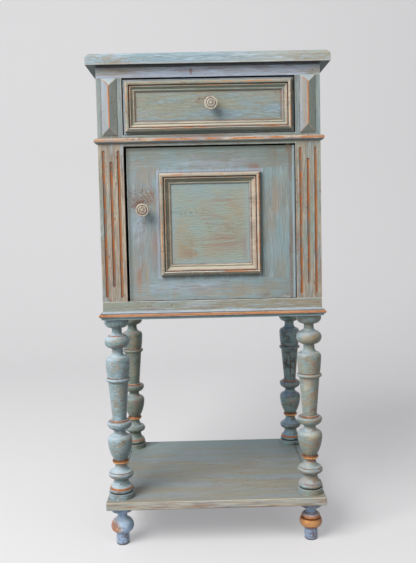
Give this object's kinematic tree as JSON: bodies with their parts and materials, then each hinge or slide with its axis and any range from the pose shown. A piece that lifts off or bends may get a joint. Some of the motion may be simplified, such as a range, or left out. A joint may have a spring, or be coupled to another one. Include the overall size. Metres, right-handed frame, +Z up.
{
  "type": "bedside cabinet",
  "caption": "Narrow painted wooden bedside cabinet: a drawer over a framed door, on tall turned legs with a shelf near the floor and turned feet.",
  "frame": {"origin": "on the floor, under the middle of the whole cabinet", "axes": "+Z up, -Y towards the front with the door and the drawer, X across the width"},
  "size_m": [0.401, 0.3386, 0.839],
  "materials": {
    "painted_wood": "brushed layered chalk paint in pale blue, sage and taupe, rubbed through at the edges",
    "painted_moulding": "layered chalk paint with copper rubbed on the crests",
    "painted_turning": "layered chalk paint with copper rings",
    "painted_knob": "cream paint with copper in the rings",
    "bare_wood": "bare pine, aged",
    "brass_leaf": "dull brass",
    "steel": "zinc-plated steel",
    "catch_plastic": "brown moulded plastic"
  },
  "bodies": {
    "carcass": {"top_board": "painted_wood", "base_board": "painted_wood", "side_panel_left": "painted_wood", "side_panel_right": "painted_wood", "face_stile_left": "painted_wood", "face_stile_right": "painted_wood", "top_rail": "painted_wood", "mid_rail": "painted_wood", "bottom_rail": "painted_wood", "facet_block_left": "painted_moulding", "facet_block_right": "painted_moulding", "mid_moulding_front": "painted_moulding", "mid_moulding_left": "painted_moulding", "mid_moulding_right": "painted_moulding", "base_moulding_front": "painted_moulding", "base_moulding_left": "painted_moulding", "base_moulding_right": "painted_moulding", "drawer_shelf": "bare_wood", "drawer_guides": "bare_wood", "drawer_kicker": "bare_wood", "back_rail": "bare_wood", "back_panel": "bare_wood", "back_panel_screws": "steel", "leg_front_left": "painted_turning", "leg_front_right": "painted_turning", "leg_rear_left": "painted_turning", "leg_rear_right": "painted_turning", "under_shelf": "painted_wood", "foot_front_left": "painted_turning", "foot_front_right": "painted_turning", "foot_rear_left": "painted_turning", "foot_rear_right": "painted_turning", "hinge_case_leaves": "brass_leaf", "hinge_case_screws": "steel", "door_catch": "catch_plastic"},
    "door": {"door_stile_hinge": "painted_wood", "door_stile_knob": "painted_wood", "door_rail_top": "painted_wood", "door_rail_bottom": "painted_wood", "door_panel": "painted_wood", "door_moulding_top": "painted_moulding", "door_moulding_bottom": "painted_moulding", "door_moulding_left": "painted_moulding", "door_moulding_right": "painted_moulding", "door_knob": "painted_knob", "door_knob_screw": "steel", "hinge_door_leaves": "brass_leaf", "hinge_door_screws": "steel", "catch_strike": "steel"},
    "drawer": {"drawer_front": "painted_wood", "drawer_side_left": "bare_wood", "drawer_side_right": "bare_wood", "drawer_back": "bare_wood", "drawer_bottom": "bare_wood", "drawer_moulding_top": "painted_moulding", "drawer_moulding_bottom": "painted_moulding", "drawer_moulding_left": "painted_moulding", "drawer_moulding_right": "painted_moulding", "drawer_knob": "painted_knob", "drawer_knob_screw": "steel"}
  },
  "joints": [
    {"name": "door_hinge", "type": "hinge", "parent": "carcass", "child": "door", "pos_m": [0.1303, -0.1427, 0.559], "axis": [0, 0, 1], "range_deg": [0, 110]},
    {"name": "drawer_slide", "type": "slide", "parent": "carcass", "child": "drawer", "axis": [0, -1, 0], "range_m": [0, 0.22]}
  ]
}
